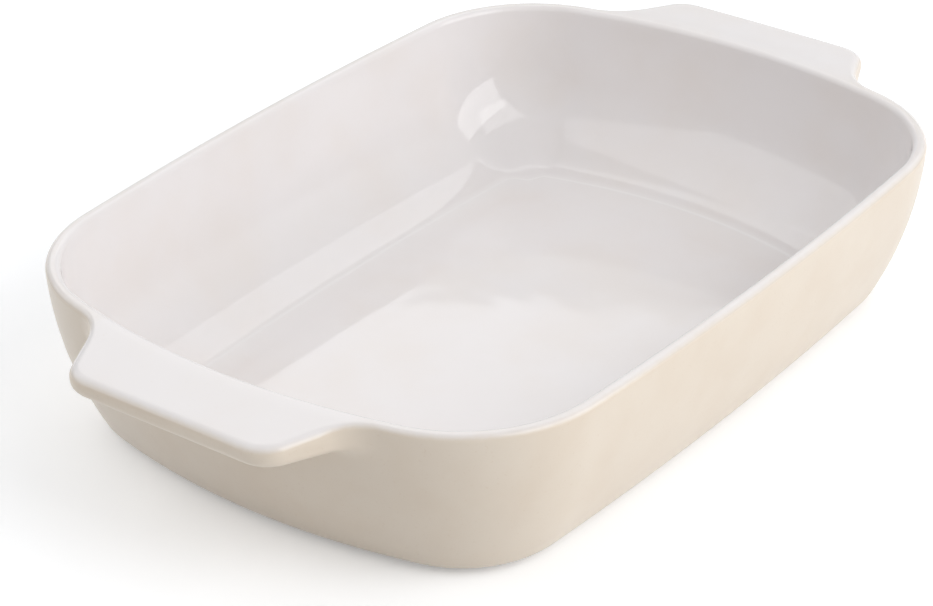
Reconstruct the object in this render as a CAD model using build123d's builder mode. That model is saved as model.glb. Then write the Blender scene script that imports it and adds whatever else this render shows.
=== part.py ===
from build123d import *

import os
from math import atan2, cos, degrees, radians, sin, sqrt, tan

# A rectangular stoneware baking dish with two lug handles.
#
# One fired casting makes the floor, the walls, the rim, both handles and the foot ring. White glaze covers
# the inside, the rim and the tops of the handles. Cream glaze covers the outside down to the bare foot ring,
# and the recess inside the ring. The length runs along X and the width along Y, and the dish stands on Z = 0.
# Sizes are in millimetres and degrees, and they are measured over the glaze.

# Plan of the rim, without the handles
rim_length = 364.4
rim_width = 259.8
end_radius = 314.7  # bow of the two short sides
side_radius = 1863.0  # bow of the two long sides
corner_radius = 63.4

# Section of the wall and the floor
height = 73.5
wall = 6.0
wall_radius = 162.0  # belly of the wall, from the rim to the base
rim_draft = 2.6  # lean of the wall at the rim
rim_round = 2.6  # both edges of the rim
base_edge_radius = 10.0
floor_thickness = 7.0
floor_fillet = 27.0  # where the wall meets the floor, inside

# Foot ring
foot_height = 1.2
foot_inset = 3.0  # from the rounded base edge to the ring
foot_width = 5.0
foot_round = 0.4

# Lug handles
handle_reach = 27.8  # past the rim
handle_tip_width = 96.0
handle_root_width = 126.0
handle_corner_radius = 14.0
handle_flare_radius = 18.0
handle_flare_angle = 30.0  # lean of the flare's end, where it runs into the wall
handle_tail = 30.0  # how far the flare's end runs on, to be trimmed inside the wall
handle_thickness = 8.6  # at the nose
handle_nose_round = 4.0
handle_fall = 3.6  # fall of the top towards the nose
handle_under_fall = 2.0  # fall of the underside towards the wall

# Glaze
glaze = 0.4
white_depth = 1.4  # how far the white runs down over the rim's outer edge
handle_white_depth = 2.2  # how far it runs down over the edge of a handle

# Levels
base_level = foot_height
floor_level = base_level + floor_thickness

# The wall is an arc in section. Its centre lies inside the dish, above the rim.
wall_centre_offset = wall_radius * cos(radians(rim_draft))
wall_centre_level = height + wall_radius * sin(radians(rim_draft))

# The rim's two edges and a handle's two edges leave a narrow flat between them
rim_edge_round = min(rim_round, wall / 2 - glaze)
nose_edge_round = min(handle_nose_round, handle_thickness / 2 - glaze / 2)

# Centres of the plan arcs, which meet tangentially
end_centre = Vector(rim_length / 2 - end_radius, 0)
side_centre = Vector(0, rim_width / 2 - side_radius)
end_to_corner = end_radius - corner_radius
side_to_corner = side_radius - corner_radius
between = side_centre - end_centre
along = (end_to_corner**2 - side_to_corner**2 + between.length**2) / (2 * between.length)
aside = sqrt(end_to_corner**2 - along**2)
toward = between.normalized()
corner_centre = end_centre + toward * along + Vector(-toward.Y, toward.X) * aside
end_angle = degrees(atan2(corner_centre.Y, corner_centre.X - end_centre.X))
side_angle = degrees(atan2(corner_centre.Y - side_centre.Y, corner_centre.X))

# The handle's top lies in a plane that leaves the middle of the rim at the handle's root and falls outwards.
# Lengths along this deck are measured from the middle of the rim.
root_half = handle_root_width / 2
tip_half = handle_tip_width / 2
rim_at_root = end_centre.X + sqrt(end_radius**2 - root_half**2)
deck_start = rim_at_root - wall / 2
deck_tip = rim_length / 2 + handle_reach - deck_start
deck_root = rim_at_root - deck_start
deck = Plane(
    origin=(deck_start, 0, height),
    x_dir=(cos(radians(handle_fall)), 0, -sin(radians(handle_fall))),
    z_dir=(sin(radians(handle_fall)), 0, cos(radians(handle_fall))),
)
opposite_deck = Plane(
    origin=(-deck_start, 0, height),
    x_dir=(-cos(radians(handle_fall)), 0, -sin(radians(handle_fall))),
    z_dir=(-sin(radians(handle_fall)), 0, cos(radians(handle_fall))),
)


def plan_arcs():
    """The eight arcs of the rim line as centre, radius, start angle and sweep, anticlockwise."""
    corner_x = corner_centre.X
    corner_y = corner_centre.Y
    corner_sweep = side_angle - end_angle
    side_sweep = 180 - 2 * side_angle
    return [
        ((end_centre.X, 0), end_radius, -end_angle, 2 * end_angle),
        ((corner_x, corner_y), corner_radius, end_angle, corner_sweep),
        ((0, side_centre.Y), side_radius, side_angle, side_sweep),
        ((-corner_x, corner_y), corner_radius, 180 - side_angle, corner_sweep),
        ((-end_centre.X, 0), end_radius, 180 - end_angle, 2 * end_angle),
        ((-corner_x, -corner_y), corner_radius, 180 + end_angle, corner_sweep),
        ((0, -side_centre.Y), side_radius, 180 + side_angle, side_sweep),
        ((corner_x, -corner_y), corner_radius, 360 - side_angle, corner_sweep),
    ]


def wall_offset(radius, level):
    """How far a wall arc of this radius lies inside the rim line, at this level."""
    return wall_centre_offset - sqrt(radius**2 - (wall_centre_level - level) ** 2)


# Where the rounded stretches end, measured in from the rim line
base_edge_end = wall_offset(wall_radius - base_edge_radius, base_level + base_edge_radius)
floor_fillet_end = wall_offset(wall_radius - wall - floor_fillet, floor_level + floor_fillet)
floor_seam = (floor_fillet_end + corner_radius) / 2  # between the turned wall and the flat floor
foot_outer = base_edge_end + foot_inset
foot_inner = foot_outer + foot_width


def outline(offset, level):
    """The plan of the dish at one level, drawn in by an offset from the rim line."""
    with BuildSketch(Plane.XY.offset(level)) as face:
        with BuildLine():
            for centre, radius, start, sweep_angle in plan_arcs():
                CenterArc(centre, radius - offset, start, sweep_angle)
        make_face()
    return face.sketch


def section_plane(centre, start):
    """The upright plane through a plan arc's axis, at the arc's start: x runs out and y runs up."""
    outward = Vector(cos(radians(start)), sin(radians(start)))
    return Plane(origin=centre, x_dir=outward, z_dir=(outward.Y, -outward.X))


def wall_section(centre, radius, start, inset):
    """The wall and the edge of the floor in section, drawn in by an inset on every face."""
    outer = wall_radius - inset
    inner = wall_radius - wall + inset
    base = base_level + inset
    floor = floor_level - inset
    top = height - inset
    seam = radius - floor_seam

    def at(wall_arc, level):
        return (radius - wall_offset(wall_arc, level), level)

    rounds = (
        (at(outer, base), base_edge_radius - inset),
        (at(inner, floor), floor_fillet + inset),
        (at(outer, top), rim_edge_round - inset),
        (at(inner, top), rim_edge_round - inset),
    )
    with BuildSketch(section_plane(centre, start)) as section:
        with BuildLine():
            ThreePointArc(at(outer, base), at(outer, (base + top) / 2), at(outer, top))
            Line(at(outer, top), at(inner, top))
            ThreePointArc(at(inner, top), at(inner, (floor + top) / 2), at(inner, floor))
            Polyline(at(inner, floor), (seam, floor), (seam, base), at(outer, base))
        make_face()
        for point, corner_round in rounds:
            fillet(section.vertices().sort_by_distance((*point, 0))[0], corner_round)
    return section.sketch


def core_section(centre, radius, start):
    """The space inside the middle of the wall and over the middle of the floor, in section."""
    middle = wall_radius - wall / 2
    base = base_level + floor_thickness / 2
    top = height + wall
    seam = radius - floor_seam

    def at(level):
        return (radius - wall_offset(middle, level), level)

    with BuildSketch(section_plane(centre, start)) as section:
        with BuildLine():
            ThreePointArc(at(base), at((base + top) / 2), at(top))
            Polyline(at(top), (seam, top), (seam, base), at(base))
        make_face()
        fillet(section.vertices().sort_by_distance((*at(base), 0))[0], base_edge_radius)
    return section.sketch


def lug(inset):
    """The lug handle at +X, drawn in by an inset on every face, from the wall's middle to the nose."""
    tail = deck_root - handle_tail * tan(radians(handle_flare_angle))
    tail_half = root_half + handle_tail
    underside = Plane(
        origin=deck.from_local_coords((deck_tip, 0, -handle_thickness)),
        x_dir=(0, 1, 0),
        z_dir=(-sin(radians(handle_under_fall)), 0, cos(radians(handle_under_fall))),
    )
    with BuildPart() as handle:
        with BuildSketch(deck.offset(-inset)) as plan:
            with BuildLine():
                Polyline(
                    (tail, -tail_half),
                    (deck_root, -root_half),
                    (deck_tip, -tip_half),
                    (deck_tip, tip_half),
                    (deck_root, root_half),
                    (tail, tail_half),
                    close=True,
                )
            make_face()
            fillet(plan.vertices().group_by(Axis.X)[1], handle_flare_radius)
            fillet(plan.vertices().group_by(Axis.X)[-1], handle_corner_radius)
            if inset > 0:
                offset(amount=-inset, mode=Mode.REPLACE)
        extrude(amount=-height / 2)
        split(bisect_by=underside.offset(inset), keep=Keep.TOP)
        long_edges = handle.edges().filter_by(Axis(deck.origin, deck.z_dir), reverse=True)
        fillet(long_edges.sort_by(Axis.X)[2:], nose_edge_round - inset)
        extrude(outline(wall / 2, height), amount=height, both=True, mode=Mode.SUBTRACT)
    return handle.part


def dish(inset):
    """The whole dish without its foot ring, drawn in by an inset on every face."""
    handle = lug(inset)
    with BuildPart() as shape:
        for centre, radius, start, sweep_angle in plan_arcs():
            section = wall_section(centre, radius, start, inset)
            revolve(section, axis=Axis((*centre, 0), (0, 0, 1)), revolution_arc=sweep_angle)
        extrude(outline(floor_seam, base_level + inset), amount=floor_thickness - 2 * inset)
        add(handle)
        add(mirror(handle, about=Plane.YZ))
    return shape.part


def core():
    """The space inside the middle of the wall and over the middle of the floor, to above the rim."""
    base = base_level + floor_thickness / 2
    with BuildPart() as inside:
        for centre, radius, start, sweep_angle in plan_arcs():
            section = core_section(centre, radius, start)
            revolve(section, axis=Axis((*centre, 0), (0, 0, 1)), revolution_arc=sweep_angle)
        extrude(outline(floor_seam, base), amount=height + wall - base)
    return inside.part


# The casting, with its foot ring left bare
with BuildPart() as stoneware_body:
    add(dish(glaze))
    with BuildSketch():
        add(outline(foot_outer, 0))
        add(outline(foot_inner, 0), mode=Mode.SUBTRACT)
    extrude(amount=base_level + glaze)
    fillet(stoneware_body.edges().group_by(Axis.Z)[0], foot_round)
stoneware_body.part.label = "stoneware_body"

# Both coats of glaze in one piece
with BuildPart() as glaze_coat:
    add(dish(0))
    add(stoneware_body.part, mode=Mode.SUBTRACT)

# The space outside the middle of the wall and below the line where the white glaze ends
with BuildPart() as outside:
    with BuildSketch():
        Rectangle(rim_length + 4 * handle_reach, rim_width + 4 * handle_reach)
    extrude(amount=height - white_depth)
    split(bisect_by=deck.offset(-handle_white_depth), keep=Keep.BOTTOM)
    split(bisect_by=opposite_deck.offset(-handle_white_depth), keep=Keep.BOTTOM)
    add(core(), mode=Mode.SUBTRACT)

# White inside, over the rim and on the handles' tops
with BuildPart() as white_glaze:
    add(glaze_coat.part)
    add(outside.part, mode=Mode.SUBTRACT)
white_glaze.part.label = "white_glaze"

# Cream outside, down to the foot ring, and in the recess that the ring closes off
with BuildPart() as cream_coat:
    add(glaze_coat.part)
    add(outside.part, mode=Mode.INTERSECT)
recess_coat, side_coat = cream_coat.solids().sort_by(SortBy.VOLUME)

with BuildPart() as cream_glaze:
    add(side_coat)
cream_glaze.part.label = "cream_glaze"

with BuildPart() as cream_base_glaze:
    add(recess_coat)
cream_base_glaze.part.label = "cream_base_glaze"

os.makedirs("parts", exist_ok=True)
export_step(stoneware_body.part, "parts/stoneware_body.step")
export_step(white_glaze.part, "parts/white_glaze.step")
export_step(cream_glaze.part, "parts/cream_glaze.step")
export_step(cream_base_glaze.part, "parts/cream_base_glaze.step")
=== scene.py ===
"""Dresses a rectangular stoneware lasagna dish with two lug handles.

The white glaze of the inside and the cream glaze of the outside are surfaces worked out on grids. One
direction of each grid follows the rim line and the other one crosses the wall. The fired body and the
glaze in the recess under the base keep their own solids. Lengths are in metres, angles in radians.
"""

from collections import namedtuple

import bpy
import numpy as np
from mathutils import Matrix, Vector


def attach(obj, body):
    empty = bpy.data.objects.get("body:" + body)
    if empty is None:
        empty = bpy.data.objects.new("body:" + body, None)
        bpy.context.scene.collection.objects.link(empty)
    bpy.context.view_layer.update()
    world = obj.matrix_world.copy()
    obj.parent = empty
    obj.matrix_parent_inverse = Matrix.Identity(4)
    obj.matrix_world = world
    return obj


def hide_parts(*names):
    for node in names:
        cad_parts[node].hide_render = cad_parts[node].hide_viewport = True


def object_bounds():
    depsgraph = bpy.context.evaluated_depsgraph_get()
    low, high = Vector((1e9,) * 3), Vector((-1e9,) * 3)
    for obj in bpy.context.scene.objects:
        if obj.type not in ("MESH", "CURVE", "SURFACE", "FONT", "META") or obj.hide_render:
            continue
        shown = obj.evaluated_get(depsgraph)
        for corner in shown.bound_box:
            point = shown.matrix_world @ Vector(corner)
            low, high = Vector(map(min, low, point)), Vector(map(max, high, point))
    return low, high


bl_info = {
    "name": "Lasagna dish",
    "version": (1, 0, 0),
    "blender": (4, 5, 0),
    "location": "3D View > Sidebar > Dish",
    "description": "Glazes a stoneware lasagna dish and sets up its studio",
    "category": "Object",
}

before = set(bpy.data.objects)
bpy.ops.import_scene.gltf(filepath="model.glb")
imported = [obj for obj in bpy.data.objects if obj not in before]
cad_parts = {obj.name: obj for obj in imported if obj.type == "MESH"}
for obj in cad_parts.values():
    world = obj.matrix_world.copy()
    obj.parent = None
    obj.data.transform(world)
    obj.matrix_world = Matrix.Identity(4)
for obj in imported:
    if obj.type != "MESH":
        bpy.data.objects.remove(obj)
CAD_BOX = [list(corner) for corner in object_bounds()]
BODY = "root"
MM = 0.001
HALF_TURN = np.pi
QUARTER_TURN = np.pi / 2


# Settings


def length_property(name, description, default):
    """A length in metres."""
    return bpy.props.FloatProperty(name=name, description=description, default=default, unit="LENGTH")


def angle_property(name, description, default):
    """An angle, whose default is given in degrees."""
    return bpy.props.FloatProperty(
        name=name, description=description, default=np.radians(default), subtype="ANGLE"
    )


def number_property(name, description, default):
    """A plain number of 0 or more."""
    return bpy.props.FloatProperty(name=name, description=description, default=default, min=0.0)


def share_property(name, description, default):
    """A share from 0 to 1."""
    return bpy.props.FloatProperty(name=name, description=description, default=default, min=0.0, max=1.0)


def colour_property(name, description, default):
    """A linear colour that the sidebar shows as a swatch."""
    return bpy.props.FloatVectorProperty(
        name=name, description=description, default=default, subtype="COLOR", min=0.0, max=1.0
    )


class DishSizes(bpy.types.PropertyGroup):
    """Sizes of the dish over its glaze."""

    rim_length: length_property("Rim length", "Length of the rim, without the handles", 0.3644)
    rim_width: length_property("Rim width", "Width of the rim", 0.25969)
    end_radius: length_property("End radius", "Bow of the two short sides in plan", 0.3147)
    side_radius: length_property("Side radius", "Bow of the two long sides in plan", 1.863)
    corner_radius: length_property("Corner radius", "Corners of the rim in plan", 0.0634)
    height: length_property("Height", "From the table to the rim", CAD_BOX[1][2])
    wall: length_property("Wall", "Thickness of the wall", 0.006)
    wall_radius: length_property("Wall radius", "Belly of the wall in section", 0.162)
    rim_draft: angle_property("Rim draft", "Lean of the wall at the rim", 2.6)
    rim_round: length_property("Rim round", "Rounding of the rim's edges", 0.0026)
    base_edge_radius: length_property("Base edge radius", "Rounding under the wall", 0.010)
    base_level: length_property("Base level", "Height of the base over the table", 0.0012)
    floor_thickness: length_property("Floor thickness", "Thickness of the floor", 0.007)
    floor_fillet: length_property("Floor fillet", "Where a wall meets the floor", 0.041)
    corner_fillet: length_property("Corner fillet", "Where the wall meets the floor in a corner", 0.0497)
    groove_width: length_property("Groove width", "The glaze's hollow round the flat floor", 0.0032)
    groove_depth: length_property("Groove depth", "Depth of that hollow", 0.00008)
    foot_inset: length_property("Foot inset", "From the base edge to the foot ring", 0.003)
    handle_reach: length_property("Handle reach", "From the rim to the nose", 0.0278)
    handle_tip_width: length_property("Handle tip width", "Width at the nose", 0.096)
    handle_root_width: length_property("Handle root width", "Width at the rim", 0.126)
    handle_corner_radius: length_property("Handle corner radius", "Corners of the nose in plan", 0.014)
    handle_flare_radius: length_property("Handle flare radius", "Where a flank meets the wall", 0.018)
    handle_under_radius: length_property("Handle under radius", "Where it meets the wall below", 0.007)
    handle_thickness: length_property("Handle thickness", "Thickness at the nose", 0.0086)
    handle_nose_round: length_property("Handle nose round", "Rounding of a handle's lower edges", 0.004)
    handle_top_round: length_property("Handle top round", "Rounding of a handle's upper edges", 0.0042)
    handle_fall: angle_property("Handle fall", "Fall of a handle towards its nose", 3.6)
    handle_under_fall: angle_property("Handle under fall", "Fall of the underside towards the wall", 2.0)
    glaze: length_property("Glaze", "Thickness of the glaze", 0.0004)
    white_depth: length_property("White depth", "How far the white runs down over the rim", 0.0014)
    handle_white_depth: length_property(
        "Handle white depth", "How far the white runs down over a handle's edge", 0.0022
    )


class GlazeColours(bpy.types.PropertyGroup):
    """Colours and finish of the glazes and the bare clay."""

    white: colour_property("White glaze", "Colour of the inside and the rim", (0.804, 0.775, 0.774))
    # The colour of a painted highlight, lighter than the white, along the edge of the flat floor
    white_painted_highlight: colour_property("Deep white glaze", "Where the white has pooled", (0.87, 0.85, 0.845))
    white_thin: colour_property("Thin white glaze", "Where the white is thin", (0.764, 0.70, 0.652))
    cream: colour_property("Cream glaze", "Colour of the outside", (0.704, 0.620, 0.521))
    cream_thin: colour_property("Thin cream glaze", "Where the cream is thin", (0.632, 0.517, 0.401))
    clay: colour_property("Bare clay", "Colour of the unglazed foot ring", (0.55, 0.44, 0.32))
    white_roughness: share_property("White roughness", "Roughness of the white glaze", 0.035)
    cream_roughness: share_property("Cream roughness", "Roughness of the cream glaze", 0.27)


class StudioSettings(bpy.types.PropertyGroup):
    """The camera and the lights."""

    azimuth: angle_property("Azimuth", "Turn of the camera about the dish", -53.10)
    elevation: angle_property("Elevation", "Height of the camera as an angle", 29.465)
    roll: angle_property("Roll", "Lean of the picture", -0.455)
    distance: length_property("Distance", "From the camera to its target", 1.2721)
    target: bpy.props.FloatVectorProperty(
        name="Target",
        description="What the camera looks at",
        default=(-0.0319, -0.0059, 0.03764),
        subtype="XYZ",
    )
    lens: number_property("Lens", "Focal length in mm over a 36 mm sensor", 120.91)
    floor_colour: colour_property("Floor", "Colour of the floor", (0.915, 0.93, 0.95))
    floor_lift: number_property("Floor lift", "Brightness added to the floor as it is seen", 0.24)
    sky_strength: number_property("Sky strength", "Light from all round", 0.392)
    right_power: number_property("Right power", "Watts of the lamp on the right", 20.3)
    near_power: number_property("Near power", "Watts of the small lamp by the camera", 3.2)
    left_power: number_property("Left power", "Watts of the lamp on the left", 12.6)
    back_power: number_property("Back power", "Watts of the panel behind the dish", 10.3)


# The shape of the dish

Plan = namedtuple("Plan", "end_x side_y corner end_angle side_angle")
Section = namedtuple("Section", "across level rim_round_centre edge_centre floor_level")
Rim = namedtuple("Rim", "x y normal_x normal_y")

# Steps along the rim line, and how much shorter they get where a handle's flank leaves the wall. The cut
# sets in between the first two distances from the handle's root and ends between the other two.
LONG_STEP = 2.6 * MM
STEP_CUT = 2.2 * MM
CUT_START = (-20 * MM, -14 * MM)
CUT_END = (8 * MM, 20 * MM)
FINE_PLACES = 20001  # at which the steps of a quarter are added up

# The fillet's slope where it leaves the floor
FILLET_LEAN = np.radians(8)

# Rows across the white coat, from the middle of the floor to the parting
FLOOR_ROWS = 7
GROOVE_ROWS = 8
FILLET_ROWS = 20
WALL_ROWS = 12
RIM_ROWS = 9
TOP_ROWS = 16
EDGE_ROWS = 11

# Rows across the cream coat, from the parting to the foot ring
NOSE_ROWS = 7
TURN_ROWS = 11
UNDER_ROWS = 12
LOW_WALL_ROWS = 14
ARC_ROWS = 9
BASE_ROWS = 12

# A coat's inner face is drawn in by a share of the glaze's depth, and keeps every third row
BACK_SHARE = 0.9
BACK_STEP = 3

# The white may fade from this many rows before the rim's crest. Rows nearer the floor stay white, and
# are given this depth below the parting whatever their level.
FADE_ROWS = 2
NEVER_CREAM = -1.0

# Rays that look for the surface: their length, and how often the interval round it is halved
RAY_LENGTH = 60 * MM
HALVINGS = 40

# Past the rim line, a handle takes over from the wall within these reaches
HANDLE_REACH = 14 * MM
EDGE_REACH = 12 * MM

# How much deeper than the rounded edge of a handle's top the rays round that edge start
ROUND_CLEARANCE = 0.3 * MM

# The painted highlight along the floor's edge shows only where the glaze lies this close to the floor's
# level
PAINTED_HIGHLIGHT_REACH = 2 * MM


def plan_of(sizes):
    """Centres of the three arcs that make a quarter of the rim line, and the angles at which they meet.

    The corner's centre lies at end radius - corner radius from the end's centre, and at side radius -
    corner radius from the side's centre, so that the three arcs meet tangentially.
    """
    end_x = sizes.rim_length / 2 - sizes.end_radius
    side_y = sizes.rim_width / 2 - sizes.side_radius
    to_end = sizes.end_radius - sizes.corner_radius
    to_side = sizes.side_radius - sizes.corner_radius
    between = np.array([-end_x, side_y])
    length = np.hypot(*between)
    along = (to_end**2 - to_side**2 + length**2) / (2 * length)
    aside = np.sqrt(to_end**2 - along**2)
    toward = between / length
    corner = np.array([end_x, 0.0]) + toward * along + np.array([-toward[1], toward[0]]) * aside
    end_angle = np.arctan2(corner[1], corner[0] - end_x)
    side_angle = np.arctan2(corner[1] - side_y, corner[0])
    return Plan(end_x, side_y, corner, end_angle, side_angle)


def section_of(sizes):
    """Centres of the arcs in the wall's section, as (distance out from the rim line, level).

    The wall's outer and inner faces share one centre. A round that touches a wall arc of radius r from
    inside has its centre at r minus its own radius from that centre, and one that touches it from outside
    has it at r plus its own radius.
    """
    across = -sizes.wall_radius * np.cos(sizes.rim_draft)
    level = sizes.height + sizes.wall_radius * np.sin(sizes.rim_draft)
    inner = sizes.wall_radius - sizes.wall

    def centre_at(radius, height):
        return np.array([across + np.sqrt(radius**2 - (level - height) ** 2), height])

    floor_level = sizes.base_level + sizes.floor_thickness
    rim_round_centre = centre_at(inner + sizes.rim_round, sizes.height - sizes.rim_round)
    edge_centre = centre_at(
        sizes.wall_radius - sizes.base_edge_radius, sizes.base_level + sizes.base_edge_radius
    )
    return Section(across, level, rim_round_centre, edge_centre, floor_level)


def smooth_step(low, high, value):
    """0 below low, 1 above high and t * t * (3 - 2 t) between them."""
    part = np.clip((value - low) / (high - low), 0.0, 1.0)
    return part * part * (3 - 2 * part)


def blend(first, second, share):
    """The first value at a share of 0 and the second one at 1."""
    return first + (second - first) * share


def rounded_overlap(first, second, radius, lean=0.0):
    """Distance to the overlap of two shapes whose shared edge is rounded to a radius.

    With a and b the distances to the two faces plus the radius, and g the cosine of the angle between the
    faces' normals, the round is sqrt((a² + b² - 2 g a b) / (1 - g²)) - radius between the two normals.
    Elsewhere the larger of the two distances holds.
    """
    a = first + radius
    b = second + radius
    between = (b > lean * a) & (a > lean * b)
    squared = (a * a + b * b - 2 * lean * a * b) / (1 - lean * lean)
    return np.where(between, np.sqrt(np.maximum(squared, 0.0)) - radius, np.maximum(first, second))


def rounded_union(first, second, radius, lean):
    """Distance to the union of two shapes whose shared corner is filled: an overlap turned inside out."""
    return -rounded_overlap(-first, -second, radius, lean)


def rim_stations(sizes):
    """Places along the rim line with their outward normals, as whole arrays.

    A quarter is laid out by its length. The step is short where a handle's flank leaves the wall, and
    long elsewhere: the number of steps up to a place is the integral of 1 / step. The other quarters
    mirror it.
    """
    plan = plan_of(sizes)
    end_run = sizes.end_radius * plan.end_angle
    corner_run = sizes.corner_radius * (plan.side_angle - plan.end_angle)
    side_run = sizes.side_radius * (QUARTER_TURN - plan.side_angle)
    fine = np.linspace(0.0, end_run + corner_run + side_run, FINE_PLACES)
    root = sizes.handle_root_width / 2
    cut = smooth_step(root + CUT_START[0], root + CUT_START[1], fine)
    cut = cut - smooth_step(root + CUT_END[0], root + CUT_END[1], fine)
    step = LONG_STEP - STEP_CUT * cut
    count = np.concatenate([[0.0], np.cumsum(np.diff(fine) / step[1:])])
    total = int(np.ceil(count[-1]))
    run = np.interp(np.linspace(0.0, count[-1], total + 1), count, fine)
    in_end = run <= end_run
    in_side = run > end_run + corner_run
    corner_angle = plan.end_angle + (run - end_run) / sizes.corner_radius
    side_angle = plan.side_angle + (run - end_run - corner_run) / sizes.side_radius
    angle = np.where(in_end, run / sizes.end_radius, np.where(in_side, side_angle, corner_angle))
    radius = np.where(in_end, sizes.end_radius, np.where(in_side, sizes.side_radius, sizes.corner_radius))
    centre_x = np.where(in_end, plan.end_x, np.where(in_side, 0.0, plan.corner[0]))
    centre_y = np.where(in_end, 0.0, np.where(in_side, plan.side_y, plan.corner[1]))
    normal = np.stack([np.cos(angle), np.sin(angle)])
    place = np.stack([centre_x, centre_y]) + radius * normal
    quarter = np.concatenate([place, normal])
    quarter[[0, 2], -1] = 0.0
    mirror_x = np.array([[-1], [1], [-1], [1]]) * quarter[:, ::-1]
    half = np.concatenate([quarter, mirror_x[:, 1:]], axis=1)
    mirror_y = np.array([[1], [-1], [1], [-1]]) * half[:, ::-1]
    loop = np.concatenate([half, mirror_y[:, 1:-1]], axis=1)
    return Rim(*loop)


class Outside:
    """The outer surface of the dish as one function of a place, negative inside the clay.

    The wall is an arc turned about the plan's arcs. A handle is a slab with a rounded nose and rounded
    corners, whose underside and flanks run into the wall in concave rounds. One rounded edge then joins
    them to the top, which is level over the rim and falls towards the nose.
    """

    def __init__(self, sizes):
        self.sizes = sizes
        self.section = section_of(sizes)
        plan = plan_of(sizes)
        root = sizes.handle_root_width / 2
        tip = sizes.handle_tip_width / 2
        rim_at_root = plan.end_x + np.sqrt(sizes.end_radius**2 - root**2)
        self.deck_start = rim_at_root - sizes.wall / 2
        self.deck_tip = sizes.rim_length / 2 + sizes.handle_reach - self.deck_start
        flank = np.array([self.deck_tip - sizes.wall / 2, tip - root])
        self.flank_normal = np.array([-flank[1], flank[0]]) / np.hypot(*flank)
        self.flank_offset = self.flank_normal @ np.array([self.deck_tip, tip])
        fall = np.sin(sizes.handle_fall), np.cos(sizes.handle_fall)
        self.nose_x = self.deck_start + self.deck_tip * fall[1] - sizes.handle_thickness * fall[0]
        self.nose_base = sizes.height - self.deck_tip * fall[0] - sizes.handle_thickness * fall[1]
        self.handle_tail = 25 * MM  # how far a handle's slab runs back into the wall
        self.under_corner = 0.15  # cosine between the wall and the underside
        self.flare_corner = 0.55  # cosine between the wall and a flank
        self.round_drop = 4 * MM  # from the underside's round up to the flank's round
        self.round_rise = 10 * MM
        self.fall_start = sizes.rim_round - sizes.wall
        self.fall_run = 6 * MM  # over which the top bends from level to its fall
        reach = sizes.handle_reach - self.fall_start - self.fall_run / 2
        self.fall_rate = self.deck_tip * fall[0] / reach

    def top_level(self, out):
        """Level of the top, at a distance out from the rim line.

        With a the distance past the rim's crest, it is height - rate * a² / 2w up to a = w, and then it
        falls straight.
        """
        past = np.maximum(out - self.fall_start, 0.0)
        near = np.minimum(past, self.fall_run)
        return self.sizes.height - self.fall_rate * (near**2 / (2 * self.fall_run) + past - near)

    def under_level(self, x):
        """Level of a handle's underside, a plane that falls from the nose towards the wall."""
        return self.nose_base - np.tan(self.sizes.handle_under_fall) * (self.nose_x - np.abs(x))

    def side(self, x, y, z, out):
        """Distance to the wall and the handles together, without their tops."""
        sizes = self.sizes
        wall = np.hypot(out - self.section.across, z - self.section.level) - sizes.wall_radius
        cos_fall = np.cos(sizes.handle_fall)
        sin_fall = np.sin(sizes.handle_fall)
        along = (np.abs(x) - self.deck_start) * cos_fall - (z - sizes.height) * sin_fall
        flank = self.flank_normal[0] * along + self.flank_normal[1] * np.abs(y) - self.flank_offset
        plan_lean = self.flank_normal[0]
        plan = rounded_overlap(along - self.deck_tip, flank, sizes.handle_corner_radius, plan_lean)
        plan = np.maximum(plan, -self.handle_tail - along)
        under = (self.under_level(x) - z) * np.cos(sizes.handle_under_fall)
        under_lean = np.sin(sizes.handle_fall + sizes.handle_under_fall)
        handle = rounded_overlap(plan, under, sizes.handle_nose_round, under_lean)
        low = self.nose_base - self.round_drop
        share = smooth_step(low, low + self.round_rise, z)
        radius = blend(sizes.handle_under_radius, sizes.handle_flare_radius, share)
        return rounded_union(wall, handle, radius, blend(self.under_corner, self.flare_corner, share))

    def distance(self, x, y, z, out):
        """Distance to the whole outer surface, where out is the distance from the rim line in plan."""
        sizes = self.sizes
        share = smooth_step(0.0, EDGE_REACH, out)
        edge = blend(sizes.rim_round, sizes.handle_top_round, share)
        top = (z - self.top_level(out)) * blend(1.0, np.cos(sizes.handle_fall), share)
        return rounded_overlap(self.side(x, y, z, out), top, edge)

    def reach_at(self, rim, level):
        """How far the side stands out from the rim line at each station, at this level."""
        zero = np.zeros_like(rim.x)
        return self.cast(rim, zero - self.sizes.wall / 2, zero + level, zero, self.side)[0]

    def cast(self, rim, out, z, angle, shape=None):
        """Where rays from inside the clay leave it, found by halving an interval round the surface.

        A ray starts at a distance out from the rim line and a level z, and leaves at an angle above the
        outward direction. Returns the distance out and the level of each point.
        """
        shape = shape or self.distance
        near = np.zeros(np.broadcast(rim.x, out).shape)
        far = near + RAY_LENGTH
        for _ in range(HALVINGS):
            middle = (near + far) / 2
            ray_out = out + middle * np.cos(angle)
            ray_z = z + middle * np.sin(angle)
            x = rim.x + rim.normal_x * ray_out
            y = rim.y + rim.normal_y * ray_out
            inside = shape(x, y, ray_z, ray_out) < 0
            near = np.where(inside, middle, near)
            far = np.where(inside, far, middle)
        return out + near * np.cos(angle), z + near * np.sin(angle)


def arc_rows(centre, radius, start, stop, count):
    """Points on an arc in section, as (distance out, level) rows: centre + radius * (cos a, sin a).

    The centre, the radius and the angles may each differ from station to station.
    """
    angle = np.linspace(start, stop, count)
    return np.stack([centre[0] + radius * np.cos(angle), centre[1] + radius * np.sin(angle)])


def spread(rows, rim):
    """The same section at every station: each distance or level of it becomes a row of the grid."""
    return [values[:, None] + 0 * rim.x for values in rows]


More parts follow.
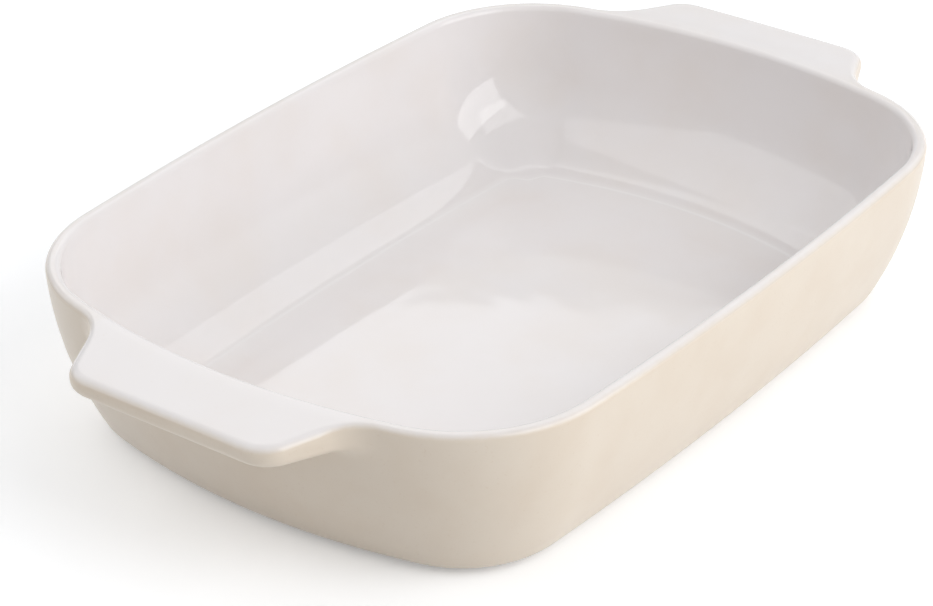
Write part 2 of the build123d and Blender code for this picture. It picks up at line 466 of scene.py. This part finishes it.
def nose_layout(outside, rim):
    """Where each station's rays start, how far it belongs to a handle, and the level of its parting."""
    sizes = outside.sizes
    reach = outside.reach_at(rim, outside.nose_base + sizes.handle_thickness / 2)
    share = smooth_step(0.0, HANDLE_REACH, reach)
    handle_depth = sizes.handle_top_round + ROUND_CLEARANCE
    start = reach - blend(sizes.wall / 2, handle_depth, smooth_step(0.0, EDGE_REACH, reach))
    top = outside.top_level(start)
    parting = top - blend(sizes.white_depth, sizes.handle_white_depth, share)
    return start, share, parting


def white_rows(outside, rim):
    """The white face, from the edge of the flat floor to the parting, as (distance out, level) grids.

    The fillet over the floor is wider in the corners: its radius is a + (b - a) * (2 nx ny)², with n the
    rim line's normal, and it leaves the floor at a slope. The glaze has sunk a little along the floor's
    edge, in a hollow whose depth is d * sin² of the way across it.
    """
    sizes = outside.sizes
    section = outside.section
    inner = sizes.wall_radius - sizes.wall
    centre = (section.across, section.level)
    radius = blend(sizes.floor_fillet, sizes.corner_fillet, (2 * rim.normal_x * rim.normal_y) ** 2)
    fillet_level = section.floor_level + radius * np.cos(FILLET_LEAN)
    fillet_out = section.across + np.sqrt((inner - radius) ** 2 - (section.level - fillet_level) ** 2)
    fillet_top = np.arctan2(fillet_level - section.level, fillet_out - section.across)
    rim_centre = section.rim_round_centre
    round_start = np.arctan2(rim_centre[1] - centre[1], rim_centre[0] - centre[0])
    every = np.zeros_like(radius)
    hollow = np.linspace(0.0, 1.0, GROOVE_ROWS + 1)[:-1, None] + every
    groove_out = fillet_out + radius * np.sin(FILLET_LEAN) + (hollow - 1) * sizes.groove_width
    groove_level = section.floor_level - sizes.groove_depth * np.sin(HALF_TURN * hollow) ** 2
    groove = np.stack([groove_out, groove_level])
    lowest = every + FILLET_LEAN - QUARTER_TURN
    fillet = arc_rows((fillet_out, fillet_level), radius, lowest, fillet_top, FILLET_ROWS)
    wall = arc_rows(centre, inner, fillet_top, every + round_start, WALL_ROWS)
    rim_start = every + HALF_TURN + round_start
    rim_round = arc_rows(rim_centre, sizes.rim_round, rim_start, every + QUARTER_TURN, RIM_ROWS)
    inner_rows = np.concatenate([groove, fillet, wall[:, 1:], rim_round[:, 1:]], axis=1)
    start, _, parting = nose_layout(outside, rim)
    crest = rim_centre[0]
    share = np.linspace(0.0, 1.0, TOP_ROWS + 1)[1:, None]
    top_out = crest + (start - crest) * share
    top_rows = outside.cast(rim, top_out, parting, QUARTER_TURN + 0 * top_out)
    angle = np.linspace(QUARTER_TURN, 0.0, EDGE_ROWS + 1)[1:, None] + 0 * start
    edge_rows = outside.cast(rim, start + 0 * angle, parting, angle)
    out = np.concatenate([inner_rows[0], top_rows[0], edge_rows[0]])
    level = np.concatenate([inner_rows[1], top_rows[1], edge_rows[1]])
    return out, level


def cream_rows(outside, rim):
    """The cream face, from the parting to the foot ring, as (distance out, level) grids.

    On a plain stretch of the wall all the rays are level. On a handle they first go round the nose, then
    point down along the underside, and turn level again below the round where it meets the wall. Between
    the two, their starts and angles are mixed by the handle's share.
    """
    sizes = outside.sizes
    section = outside.section
    start, share, parting = nose_layout(outside, rim)
    middle = -sizes.wall / 2
    low_middle = middle - 2 * MM  # the wall leans in further down
    plain_end = outside.nose_base - 2 * MM
    under_end = 1.5 * MM  # how far out from the rim line the underside's rays end
    wall_end = 40 * MM
    x = rim.x + rim.normal_x * start
    low = outside.under_level(x) + sizes.handle_white_depth
    nose = np.linspace(0.0, 1.0, NOSE_ROWS)[:, None]
    turn = np.linspace(0.0, 1.0, TURN_ROWS + 1)[1:, None]
    under = np.linspace(0.0, 1.0, UNDER_ROWS + 1)[1:, None]
    rows = len(nose) + len(turn) + len(under)
    handle_out = start + (under_end - start) * np.concatenate([0 * nose, 0 * turn, under])
    handle_z = np.concatenate([parting + (low - parting) * nose, low + 0 * turn, low + 0 * under])
    handle_angle = 0 * start - QUARTER_TURN * np.concatenate([0 * nose, turn, 1 + 0 * under])
    plain = np.linspace(0.0, 1.0, rows)[:, None]
    plain_z = parting + (plain_end - parting) * plain
    first_out = blend(middle, handle_out, share)
    first = outside.cast(rim, first_out, blend(plain_z, handle_z, share), handle_angle * share)
    crowding = 1.3  # above 1, the rows lie closer under the handle
    down = np.linspace(0.0, 1.0, LOW_WALL_ROWS + 1)[1:, None] ** crowding
    wall_z = plain_end + (wall_end - plain_end) * down + 0 * start
    second = outside.cast(rim, low_middle + 0 * wall_z, wall_z, 0 * wall_z)
    centre = (section.across, section.level)
    lower = np.arcsin((wall_end - section.level) / sizes.wall_radius)
    edge_top = np.arctan2(section.edge_centre[1] - centre[1], section.edge_centre[0] - centre[0])
    wall = arc_rows(centre, sizes.wall_radius, lower, edge_top, ARC_ROWS)
    edge = arc_rows(section.edge_centre, sizes.base_edge_radius, edge_top, -QUARTER_TURN, BASE_ROWS)
    foot = np.array([[section.edge_centre[0] - sizes.foot_inset], [sizes.base_level]])
    third = spread(np.concatenate([wall[:, 1:], edge[:, 1:], foot], axis=1), rim)
    out = np.concatenate([first[0], second[0], third[0]])
    level = np.concatenate([first[1], second[1], third[1]])
    return out, level


def grid_points(rim, out, level):
    """Section rows as points: rim point + distance out * normal, at their level."""
    x = rim.x + rim.normal_x * out
    y = rim.y + rim.normal_y * out
    return np.stack([x, y, level], axis=-1)


def grid_normals(points):
    """Unit normals of a grid that is closed along its stations: the cross product of its differences."""
    along = np.roll(points, -1, axis=1) - np.roll(points, 1, axis=1)
    across = np.gradient(points, axis=0)
    normal = np.cross(across, along)
    smallest = 1e-12
    return normal / np.maximum(np.linalg.norm(normal, axis=-1, keepdims=True), smallest)


def ring_faces(rows, columns):
    """Quads of a grid that is closed along its stations, as vertex numbers row * columns + column."""
    row = np.arange(rows - 1)[:, None] * columns
    here = np.arange(columns)[None, :]
    after = (here + 1) % columns
    quads = np.stack([row + here, row + columns + here, row + columns + after, row + after], axis=-1)
    return quads.reshape(-1, 4)


def fan_faces(pole, ring, inwards):
    """Triangles from a pole to each step of a closed ring."""
    after = np.roll(ring, -1)
    order = (after, ring) if inwards else (ring, after)  # seen from above, outwards is anticlockwise
    return np.stack([np.full_like(ring, pole), *order], axis=-1)


def build_mesh(name, points, faces, sharp_rows, columns, attributes):
    """A smooth-shaded mesh from vertex coordinates and lists of quads and triangles.

    A row's vertices are numbered on from row * columns. The edges along the sharp rows are sharp.
    """
    loops = np.concatenate([part.reshape(-1) for part in faces]).astype(np.int32)
    sizes = np.concatenate([np.full(len(part), part.shape[1]) for part in faces]).astype(np.int32)
    starts = np.concatenate([[0], np.cumsum(sizes)[:-1]]).astype(np.int32)
    mesh = bpy.data.meshes.new(name)
    mesh.vertices.add(len(points))
    mesh.vertices.foreach_set("co", np.ascontiguousarray(points, np.float32).reshape(-1))
    mesh.loops.add(len(loops))
    mesh.loops.foreach_set("vertex_index", loops)
    mesh.polygons.add(len(sizes))
    mesh.polygons.foreach_set("loop_start", starts)
    mesh.update(calc_edges=True)
    mesh.validate()
    mesh.polygons.foreach_set("use_smooth", np.ones(len(sizes), bool))
    edges = np.zeros(len(mesh.edges) * 2, np.int32)
    mesh.edges.foreach_get("vertices", edges)
    edges = edges.reshape(-1, 2)
    sharp = np.zeros(len(edges), bool)
    for row in sharp_rows:
        low, high = row * columns, (row + 1) * columns
        sharp |= ((edges >= low) & (edges < high)).all(axis=1)
    mesh.attributes.new("sharp_edge", "BOOLEAN", "EDGE").data.foreach_set("value", sharp)
    for label, values in attributes.items():
        layer = mesh.attributes.new(label, "FLOAT", "POINT")
        layer.data.foreach_set("value", np.ascontiguousarray(values, np.float32).reshape(-1))
    mesh.update()
    return mesh


def place_piece(mesh, material, slot, *nodes):
    """Links a mesh as a piece that rides on the dish and stands for the named nodes."""
    piece = bpy.data.objects.new(mesh.name, mesh)
    bpy.context.scene.collection.objects.link(piece)
    mesh.materials.append(material)
    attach(piece, BODY)
    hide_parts(*nodes)


def back_rows(face, depth):
    """The inner face of a coat: some of its outer rows and the last one, drawn in, in reverse order."""
    picks = np.unique([*range(0, len(face), BACK_STEP), len(face) - 1])
    drawn_in = face - grid_normals(face) * depth
    return drawn_in[picks][::-1]


def white_mesh(sizes):
    """The white coat: a closed skin, whose inner face is its outer face drawn in by the glaze's depth.

    Inside the flat floor's edge the rows are that edge scaled down to a point. A painted highlight lies
    along
    the hollow at that edge: with d the distance from its middle and w its width, its share is exp(-(2 d /
    w)²).
    """
    outside = Outside(sizes)
    rim = rim_stations(sizes)
    out, level = white_rows(outside, rim)
    face = grid_points(rim, out, level)
    floor_level = face[0, 0, 2]
    scale = np.linspace(0.0, 1.0, FLOOR_ROWS + 2)[1:-1, None, None]
    floor = face[0] * scale
    floor[:, :, 2] = floor_level
    face = np.concatenate([floor, face])
    depth = sizes.glaze * BACK_SHARE
    rows = np.concatenate([face, back_rows(face, depth)])
    columns = rows.shape[1]
    pole = len(rows) * columns
    poles = [[0, 0, floor_level], [0, 0, floor_level - depth]]
    points = np.concatenate([rows.reshape(-1, 3), poles])
    faces = [
        ring_faces(len(rows), columns),
        fan_faces(pole, np.arange(columns), False),
        fan_faces(pole + 1, np.arange(columns) + (len(rows) - 1) * columns, True),
    ]
    crest_row = len(floor) + GROOVE_ROWS + FILLET_ROWS + (WALL_ROWS - 1) + (RIM_ROWS - 1)
    below = face[-1, :, 2] - rows[:, :, 2]
    below = np.where(np.arange(len(rows))[:, None] < crest_row - FADE_ROWS, NEVER_CREAM, below)
    below = np.concatenate([below.reshape(-1), [NEVER_CREAM, NEVER_CREAM]])
    # Share of the painted highlight along the hollow at the floor's edge
    hollow = face[len(floor) + GROOVE_ROWS // 2]
    from_hollow = np.hypot(rows[:, :, 0], rows[:, :, 1]) - np.hypot(hollow[:, 0], hollow[:, 1])
    low = np.abs(rows[:, :, 2] - floor_level) < PAINTED_HIGHLIGHT_REACH
    painted_highlight = np.where(low, np.exp(-((2 * from_hollow / sizes.groove_width) ** 2)), 0.0)
    painted_highlight = np.concatenate([painted_highlight.reshape(-1), [0.0, 0.0]])
    sharp = (len(face) - 1, len(face))
    attributes = {"below_parting": below, "painted_highlight": painted_highlight}
    return build_mesh("white_glaze_coat", points, faces, sharp, columns, attributes)


def cream_mesh(sizes):
    """The cream coat: a closed ring, whose inner face is its outer face drawn in by the glaze's depth."""
    outside = Outside(sizes)
    rim = rim_stations(sizes)
    out, level = cream_rows(outside, rim)
    face = grid_points(rim, out, level)
    rows = np.concatenate([face, back_rows(face, sizes.glaze * BACK_SHARE), face[:1]])
    columns = rows.shape[1]
    count = len(rows) - 1
    quads = ring_faces(len(rows), columns)
    quads = np.where(quads >= count * columns, quads - count * columns, quads)
    points = rows[:-1].reshape(-1, 3)
    below = (face[0, :, 2] - rows[:-1, :, 2]).reshape(-1)
    sharp = (0, len(face) - 1, len(face), count - 1)
    return build_mesh("cream_glaze_coat", points, [quads], sharp, columns, {"below_parting": below})


# Materials


class Value:
    """A socket that takes part in arithmetic, adding Math nodes as it goes."""

    def __init__(self, nodes, socket):
        self.nodes = nodes
        self.socket = socket

    def math(self, operation, *values):
        """A Math node of this operation, fed with these values."""
        return self.nodes.add("ShaderNodeMath", dict(enumerate(values)), operation=operation)

    def __add__(self, other):
        return self.math("ADD", self, other)

    def __radd__(self, other):
        return self.math("ADD", other, self)

    def __sub__(self, other):
        return self.math("SUBTRACT", self, other)

    def __rsub__(self, other):
        return self.math("SUBTRACT", other, self)

    def __mul__(self, other):
        return self.math("MULTIPLY", self, other)

    def __rmul__(self, other):
        return self.math("MULTIPLY", other, self)

    def larger(self, other):
        """The larger of two values, which for two masks is 1 where either of them is."""
        return self.math("MAXIMUM", self, other)

    def step(self, low, high):
        """0 where this is low and 1 where it is high, smoothed between them."""
        return self.nodes.add(
            "ShaderNodeMapRange",
            {"Value": self, "From Min": low, "From Max": high},
            interpolation_type="SMOOTHSTEP",
        )


class Nodes:
    """The nodes of a new material or sky, which are added from Python."""

    def __init__(self, owner):
        owner.use_nodes = True
        self.tree = owner.node_tree
        self.tree.nodes.clear()

    def add(self, kind, sockets=None, output=0, stops=(), **settings):
        """Adds a node of this kind: first its settings or its ramp's stops, then its sockets.

        A socket takes a value or a link. Returns one of the node's outputs, if it has any.
        """
        node = self.tree.nodes.new(kind)
        for name, value in settings.items():
            setattr(node, name, value)
        for place, colour in stops:
            node.color_ramp.elements.new(place).color = colour
        for name, value in (sockets or {}).items():
            socket = node.inputs[name]
            if isinstance(value, Value):
                self.tree.links.new(value.socket, socket)
            else:
                socket.default_value = value
        return Value(self, node.outputs[output]) if node.outputs else None


class Finish(Nodes):
    """A material of the dish or the studio."""

    def __init__(self, name):
        self.material = bpy.data.materials.new(name)
        super().__init__(self.material)

    def noise(self, grain):
        """Noise from 0 to 1 whose blotches are about the grain's size in metres."""
        place = self.add("ShaderNodeTexCoord", output="Object")
        settings = {"Scale": 1.0 / grain.size, "Detail": grain.detail, "Roughness": grain.roughness}
        return self.add("ShaderNodeTexNoise", {"Vector": place, **settings})

    def blotches(self, grain):
        """0 where the noise is under the grain's low level and 1 over its high one."""
        return self.noise(grain).step(grain.low, grain.high)

    def mix(self, share, first, second):
        """A colour between two colours."""
        first = first if isinstance(first, Value) else (*first, 1.0)
        second = second if isinstance(second, Value) else (*second, 1.0)
        return self.add("ShaderNodeMix", {0: share, 6: first, 7: second}, output=2, data_type="RGBA")

    def bump(self, height, depth):
        """A normal from a height of 0 to 1 that stands for this depth in metres."""
        return self.add("ShaderNodeBump", {"Height": height, "Strength": 1.0, "Distance": depth})

    def finish(self, **sockets):
        """Ends the material in one surface that takes these sockets, named with _ for each space."""
        named = {name.replace("_", " "): value for name, value in sockets.items()}
        surface = self.add("ShaderNodeBsdfPrincipled", named)
        self.add("ShaderNodeOutputMaterial", {"Surface": surface})
        return self.material


# The grains of the glazes and the clay. Blotches show between the low and the high level of the noise.
Grain = namedtuple("Grain", "size detail low high roughness", defaults=(0.0, 1.0, 0.5))
MOTTLE = Grain(0.045, 3.0, 0.35, 0.75)
WHITE_SPECKLE = Grain(0.0011, 1.0, 0.70, 0.78)
WHITE_WAVES = Grain(0.022, 1.0)
CLOUDS = Grain(0.03, 4.0, 0.3, 0.75)
CREAM_SPECKLE = Grain(0.0013, 1.0, 0.66, 0.76)
CREAM_GRAIN = Grain(0.0009, 2.0)
CREAM_WAVES = Grain(0.018, 1.0)
FRAY = Grain(0.003, 2.0)
GROG = Grain(0.0018, 4.0, 0.45, 0.7, 0.7)

# How far the white fades above the parting, the cream below it, and how far that edge wanders
FADE_ABOVE = 2.0 * MM
FADE_BELOW = 0.6 * MM
FRAY_WIDTH = 0.6 * MM

# How strongly each effect shows, and what it adds to the roughness
MOTTLE_SHARE = 0.35
MOTTLE_ROUGHNESS = 0.02
WHITE_SPECKLE_SHARE = 0.25
# How strongly the painted highlight along the floor's edge shows
PAINTED_HIGHLIGHT_SHARE = 0.9
EDGE_ROUGHNESS = 0.12
CLOUD_SHARE = 0.3
CLOUD_ROUGHNESS = 0.05
CREAM_SPECKLE_SHARE = 0.3
GRAIN_ROUGHNESS = 0.08
GRAIN_BUMP = 0.03
WAVE_BUMP = 0.8
GROG_SHARE = 0.5
GROG_ROUGHNESS = 0.15
CLAY_ROUGHNESS = 0.75

# Depth of each relief
WHITE_RELIEF = 0.08 * MM
CREAM_RELIEF = 0.12 * MM
CLAY_RELIEF = 0.15 * MM


def parting_edge(finish):
    """0 above the parting and 1 below it, along a soft and slightly frayed line."""
    below = finish.add("ShaderNodeAttribute", output=2, attribute_name="below_parting")
    fray = (finish.noise(FRAY) - 0.5) * FRAY_WIDTH
    return (below + fray).step(-FADE_ABOVE, FADE_BELOW)


def cream_colour(finish, clouds, colours):
    """Cloudy cream with fine specks, browner where it is thin."""
    speckle = finish.blotches(CREAM_SPECKLE)
    cream = finish.mix(clouds * CLOUD_SHARE, colours.cream, colours.cream_thin)
    return finish.mix(speckle * CREAM_SPECKLE_SHARE, cream, colours.cream_thin)


def white_glaze_finish(colours):
    """Gloss white glaze: faint warm mottling, a painted highlight along the floor's edge, a wavy face,
    and a soft edge towards the cream.
    """
    finish = Finish("white_glaze")
    mottle = finish.blotches(MOTTLE)
    speckle = finish.blotches(WHITE_SPECKLE)
    edge = parting_edge(finish)
    painted_highlight = finish.add("ShaderNodeAttribute", output=2, attribute_name="painted_highlight")
    white = finish.mix(mottle * MOTTLE_SHARE, colours.white, colours.white_thin)
    white = finish.mix(speckle * WHITE_SPECKLE_SHARE, white, colours.white_thin)
    # Painted highlight: a lighter white along the edge of the flat floor
    white = finish.mix(painted_highlight * PAINTED_HIGHLIGHT_SHARE, white, colours.white_painted_highlight)
    return finish.finish(
        Base_Color=finish.mix(edge, white, colours.cream),
        Roughness=mottle * MOTTLE_ROUGHNESS + edge * EDGE_ROUGHNESS + colours.white_roughness,
        Normal=finish.bump(finish.noise(WHITE_WAVES), WHITE_RELIEF),
    )


def cream_glaze_finish(colours):
    """Satin cream glaze with a fine grain and a soft edge towards the white."""
    finish = Finish("cream_glaze")
    cream = cream_colour(finish, finish.blotches(CLOUDS), colours)
    grain = finish.noise(CREAM_GRAIN)
    relief = finish.noise(CREAM_WAVES) * WAVE_BUMP + grain * GRAIN_BUMP
    return finish.finish(
        Base_Color=finish.mix(parting_edge(finish), colours.white, cream),
        Roughness=grain * GRAIN_ROUGHNESS + colours.cream_roughness,
        Normal=finish.bump(relief, CREAM_RELIEF),
    )


def base_glaze_finish(colours):
    """The cream glaze of the recess, which has no edge towards the white."""
    finish = Finish("cream_base_glaze")
    clouds = finish.blotches(CLOUDS)
    return finish.finish(
        Base_Color=cream_colour(finish, clouds, colours),
        Roughness=clouds * CLOUD_ROUGHNESS + colours.cream_roughness,
        Normal=finish.bump(finish.noise(CREAM_WAVES), CREAM_RELIEF),
    )


def bare_clay_finish(colours):
    """Unglazed fired clay: matte, with grog of several sizes."""
    finish = Finish("bare_clay")
    grog = finish.noise(GROG)
    dark = grog.step(GROG.low, GROG.high) * GROG_SHARE
    return finish.finish(
        Base_Color=finish.mix(dark, colours.clay, colours.cream_thin),
        Roughness=grog * GROG_ROUGHNESS + CLAY_ROUGHNESS,
        Normal=finish.bump(grog, CLAY_RELIEF),
    )


def studio_floor_finish(studio):
    """A plain white sheet, made a little brighter for the camera and for reflections."""
    finish = Finish("studio_floor")
    camera_ray = finish.add("ShaderNodeLightPath", output="Is Camera Ray")
    seen = camera_ray + finish.add("ShaderNodeLightPath", output="Is Glossy Ray")
    lift = (studio.floor_lift,) * 3
    return finish.finish(
        Base_Color=(*studio.floor_colour, 1.0),
        Roughness=0.9,
        Specular_IOR_Level=0.0,
        Emission_Color=finish.mix(seen, (0.0, 0.0, 0.0), lift),
        Emission_Strength=1.0,
    )


# The studio

Sheet = namedtuple("Sheet", "front start radius top half_width turn")
FLOOR_SHEET = Sheet(front=-4.0, start=1.3, radius=0.6, top=0.86, half_width=4.0, turn=np.radians(37))
LEVEL_ROWS = 24
BEND_ROWS = 12
SHEET_COLUMNS = 33

# Where each lamp stands, by its turn and rise in degrees and its distance, and its size
Seat = namedtuple("Seat", "turn rise distance width height")
RIGHT_SEAT = Seat(turn=-78, rise=27, distance=1.8, width=1.8, height=1.5)
NEAR_SEAT = Seat(turn=-98, rise=50, distance=1.8, width=0.8, height=0.8)
LEFT_SEAT = Seat(turn=120, rise=45, distance=1.9, width=2.2, height=1.8)
BACK_SEAT = Seat(turn=30, rise=45.1, distance=2.5, width=2.5, height=1.4)

SENSOR_WIDTH = 36.0
NEAREST = 0.01  # what lies closer to the camera isn't drawn


def floor_mesh():
    """A level sheet that sweeps up behind the dish.

    Its section is level up to a start, then a quarter circle of radius r, start + r sin a and
    r - r cos a, then upright. It is carried straight across, and faces the dish from the far side of the
    picture.
    """
    sheet = FLOOR_SHEET
    start, radius = sheet.start, sheet.radius
    level = np.stack([np.linspace(sheet.front, start, LEVEL_ROWS), np.zeros(LEVEL_ROWS)])
    bend = np.linspace(0.0, QUARTER_TURN, BEND_ROWS + 1)[1:]
    arc = np.stack([start + radius * np.sin(bend), radius - radius * np.cos(bend)])
    upright = np.array([[start + radius], [sheet.top]])
    run, height = np.concatenate([level, arc, upright], axis=1)[:, :, None]
    across = np.linspace(-sheet.half_width, sheet.half_width, SHEET_COLUMNS)[None, :]
    x = run * np.cos(sheet.turn) - across * np.sin(sheet.turn)
    y = run * np.sin(sheet.turn) + across * np.cos(sheet.turn)
    points = np.stack([x, y, height + 0 * x], axis=-1)
    rows, columns = x.shape
    row = np.arange(rows - 1)[:, None] * columns + np.arange(columns - 1)[None, :]
    quads = np.stack([row, row + columns, row + columns + 1, row + 1], axis=-1).reshape(-1, 4)
    mesh = bpy.data.meshes.new("studio_floor")
    mesh.from_pydata(points.reshape(-1, 3).tolist(), [], quads.tolist())
    mesh.polygons.foreach_set("use_smooth", np.ones(len(quads), bool))
    return mesh


def add_lamp(name, power, seat):
    """A rectangular soft lamp, turned towards the dish.

    With turn a, rise e and distance d, it stands at d * (cos a cos e, sin a cos e, sin e).
    """
    turn, rise = np.radians(seat.turn), np.radians(seat.rise)
    place = Vector((np.cos(turn) * np.cos(rise), np.sin(turn) * np.cos(rise), np.sin(rise)))
    place = seat.distance * place
    light = bpy.data.lights.new(name, "AREA")
    light.shape = "RECTANGLE"
    light.size = seat.width
    light.size_y = seat.height
    light.energy = power
    lamp = bpy.data.objects.new(name, light)
    lamp.location = place
    lamp.rotation_euler = (-place).to_track_quat("-Z", "Y").to_euler()
    bpy.context.scene.collection.objects.link(lamp)


def add_camera(studio):
    """The camera at its distance from the target, with the picture's lean.

    With azimuth a and elevation e, it looks back along (sin a cos e, -cos a cos e, sin e).
    """
    azimuth, elevation, roll = studio.azimuth, studio.elevation, studio.roll
    flat = np.cos(elevation)
    back = Vector((np.sin(azimuth) * flat, -np.cos(azimuth) * flat, np.sin(elevation)))
    level = Vector((np.cos(azimuth), np.sin(azimuth), 0.0))
    upright = back.cross(level)
    right = np.cos(roll) * level + np.sin(roll) * upright
    upward = np.cos(roll) * upright - np.sin(roll) * level
    place = Vector(studio.target) + back * studio.distance
    camera = bpy.data.objects.new("photo_camera", bpy.data.cameras.new("photo_camera"))
    camera.data.sensor_width = SENSOR_WIDTH
    camera.data.lens = studio.lens
    camera.data.clip_start = NEAREST
    matrix = Matrix((right, upward, back)).transposed().to_4x4()
    matrix.translation = place
    camera.matrix_world = matrix
    bpy.context.scene.collection.objects.link(camera)
    bpy.context.scene.camera = camera


def light_world(studio):
    """An even sky that is white where the camera, a reflection or a view through glass meets it."""
    world = bpy.data.worlds.new("studio")
    bpy.context.scene.world = world
    sky = Nodes(world)
    camera_ray = sky.add("ShaderNodeLightPath", output="Is Camera Ray")
    glossy_ray = sky.add("ShaderNodeLightPath", output="Is Glossy Ray")
    glass_ray = sky.add("ShaderNodeLightPath", output="Is Transmission Ray")
    seen = camera_ray.larger(glossy_ray).larger(glass_ray)
    strength = blend(studio.sky_strength, 1.0, seen)
    surface = sky.add("ShaderNodeBackground", {"Color": (1.0, 1.0, 1.0, 1.0), "Strength": strength})
    sky.add("ShaderNodeOutputWorld", {"Surface": surface})


# Operators


class DISH_OT_white_coat(bpy.types.Operator):
    """Makes the white glaze of the inside, the rim and the handles' tops."""

    bl_idname = "dish.white_coat"
    bl_label = "White coat"
    bl_options = {"REGISTER", "UNDO"}

    def execute(self, context):
        mesh = white_mesh(context.scene.dish_sizes)
        material = white_glaze_finish(context.scene.dish_colours)
        place_piece(mesh, material, "white_glaze", "white_glaze")
        return {"FINISHED"}


class DISH_OT_cream_coat(bpy.types.Operator):
    """Makes the cream glaze of the outside and the handles' undersides."""

    bl_idname = "dish.cream_coat"
    bl_label = "Cream coat"
    bl_options = {"REGISTER", "UNDO"}

    def execute(self, context):
        mesh = cream_mesh(context.scene.dish_sizes)
        material = cream_glaze_finish(context.scene.dish_colours)
        place_piece(mesh, material, "cream_glaze", "cream_glaze")
        return {"FINISHED"}


class DISH_OT_underside(bpy.types.Operator):
    """Finishes the fired body, bare at its foot ring, and the glaze in the recess under the base."""

    bl_idname = "dish.underside"
    bl_label = "Underside"
    bl_options = {"REGISTER", "UNDO"}

    def execute(self, context):
        colours = context.scene.dish_colours
        finishes = {"stoneware_body": bare_clay_finish, "cream_base_glaze": base_glaze_finish}
        for node, make_finish in finishes.items():
            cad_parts[node].material_slots[0].material = make_finish(colours)
        return {"FINISHED"}


class DISH_OT_stage(bpy.types.Operator):
    """Sets up the floor, the sky, the lamps and the camera."""

    bl_idname = "dish.stage"
    bl_label = "Stage"
    bl_options = {"REGISTER", "UNDO"}

    def execute(self, context):
        studio = context.scene.dish_studio
        context.scene.view_settings.view_transform = "Standard"
        sheet = bpy.data.objects.new("studio_floor", floor_mesh())
        sheet.data.materials.append(studio_floor_finish(studio))
        context.scene.collection.objects.link(sheet)
        light_world(studio)
        add_lamp("right_lamp", studio.right_power, RIGHT_SEAT)
        add_lamp("near_lamp", studio.near_power, NEAR_SEAT)
        add_lamp("left_lamp", studio.left_power, LEFT_SEAT)
        add_lamp("back_panel", studio.back_power, BACK_SEAT)
        add_camera(studio)
        return {"FINISHED"}


class DISH_PT_sidebar(bpy.types.Panel):
    """Sizes, colours and steps of the dish."""

    bl_idname = "DISH_PT_sidebar"
    bl_label = "Lasagna dish"
    bl_space_type = "VIEW_3D"
    bl_region_type = "UI"
    bl_category = "Dish"

    def draw(self, context):
        scene = context.scene
        for title, settings in (
            ("Sizes", scene.dish_sizes),
            ("Colours", scene.dish_colours),
            ("Studio", scene.dish_studio),
        ):
            box = self.layout.box()
            box.label(text=title)
            for name in settings.__annotations__:
                box.prop(settings, name)
        for operator in STEPS:
            self.layout.operator(operator.bl_idname)


SETTINGS = {"dish_sizes": DishSizes, "dish_colours": GlazeColours, "dish_studio": StudioSettings}
STEPS = (DISH_OT_white_coat, DISH_OT_cream_coat, DISH_OT_underside, DISH_OT_stage)


def register():
    for group in (*SETTINGS.values(), *STEPS, DISH_PT_sidebar):
        bpy.utils.register_class(group)
    for name, group in SETTINGS.items():
        setattr(bpy.types.Scene, name, bpy.props.PointerProperty(type=group))


def unregister():
    for name in SETTINGS:
        delattr(bpy.types.Scene, name)
    for group in reversed((*SETTINGS.values(), *STEPS, DISH_PT_sidebar)):
        bpy.utils.unregister_class(group)


def main():
    """Registers the add-on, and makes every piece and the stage."""
    register()
    bpy.ops.dish.white_coat()
    bpy.ops.dish.cream_coat()
    bpy.ops.dish.underside()
    bpy.ops.dish.stage()


if __name__ == "__main__":
    main()
